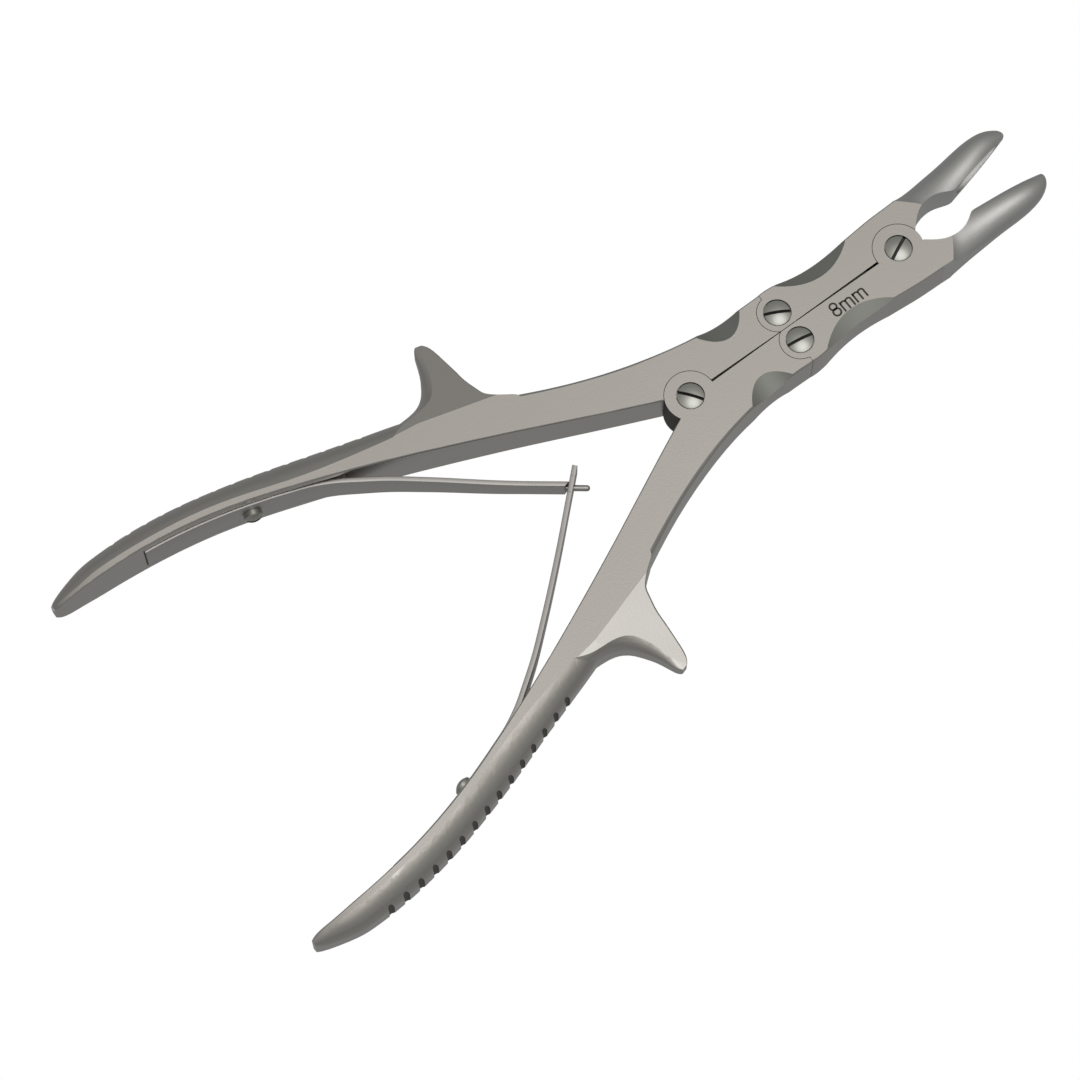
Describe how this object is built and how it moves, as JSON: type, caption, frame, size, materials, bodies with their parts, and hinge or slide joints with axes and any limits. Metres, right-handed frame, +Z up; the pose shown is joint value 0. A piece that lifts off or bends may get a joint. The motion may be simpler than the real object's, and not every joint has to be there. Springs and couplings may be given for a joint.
{
  "type": "bone rongeur",
  "caption": "Double-action bone rongeur with cupped jaws, spurred grooved handles and crossed leaf springs.",
  "frame": {"origin": "halfway along and across the instrument, at the height of the grips' underside", "axes": "+X from the grips to the jaws, +Y to the upper handle's side, +Z up, square to the flat of the levers"},
  "size_m": [0.2402, 0.1036, 0.014],
  "materials": {
    "steel": "satin",
    "screw_steel": "satin",
    "spring_steel": "brushed"
  },
  "bodies": {
    "lower_handle_body": {"lower_handle": "steel", "lower_link_screw": "screw_steel", "lower_spring_screw": "screw_steel"},
    "upper_handle_body": {"upper_handle": "steel", "rear_pivot_screw": "screw_steel", "upper_link_screw": "screw_steel", "upper_spring_screw": "screw_steel"},
    "lower_jaw_body": {"lower_jaw": "steel"},
    "upper_jaw_body": {"upper_jaw": "steel", "front_pivot_screw": "screw_steel"},
    "upper_spring_body": {"upper_spring": "spring_steel"},
    "lower_spring_body": {"lower_spring": "spring_steel"}
  },
  "joints": [
    {"name": "handles", "type": "hinge", "parent": "lower_handle_body", "child": "upper_handle_body", "pos_m": [0.02134, 0.00208, 0.007], "axis": [0, 0, 1], "range_deg": [0, 20.55], "stiffness_Nm_per_rad": 2.4, "springref_deg": -8.59},
    {"name": "lower_jaw_link", "type": "hinge", "parent": "lower_handle_body", "child": "lower_jaw_body", "pos_m": [0.04914, -0.00202, 0.007], "axis": [0, 0, 1], "range_deg": [0, 19.29]},
    {"name": "jaws", "type": "hinge", "parent": "lower_jaw_body", "child": "upper_jaw_body", "pos_m": [0.08074, 0.00208, 0.007], "axis": [0, 0, 1], "range_deg": [-18.01, 0]},
    {"name": "upper_spring_flex", "type": "hinge", "parent": "upper_handle_body", "child": "upper_spring_body", "pos_m": [-0.05366, 0.03383, 0.007], "axis": [0, 0, 1], "range_deg": [0, 7.06], "deforming": ["upper_spring"]},
    {"name": "lower_spring_flex", "type": "hinge", "parent": "lower_handle_body", "child": "lower_spring_body", "pos_m": [-0.05366, -0.03272, 0.007], "axis": [0, 0, 1], "range_deg": [-7.06, 0], "deforming": ["lower_spring"]}
  ],
  "couplings": [
    {"joint": "lower_jaw_link", "follows": "handles", "ratio": 0.93798},
    {"joint": "jaws", "follows": "handles", "ratio": -0.87596},
    {"joint": "upper_spring_flex", "follows": "handles", "ratio": 0.3431},
    {"joint": "lower_spring_flex", "follows": "handles", "ratio": -0.3431}
  ]
}
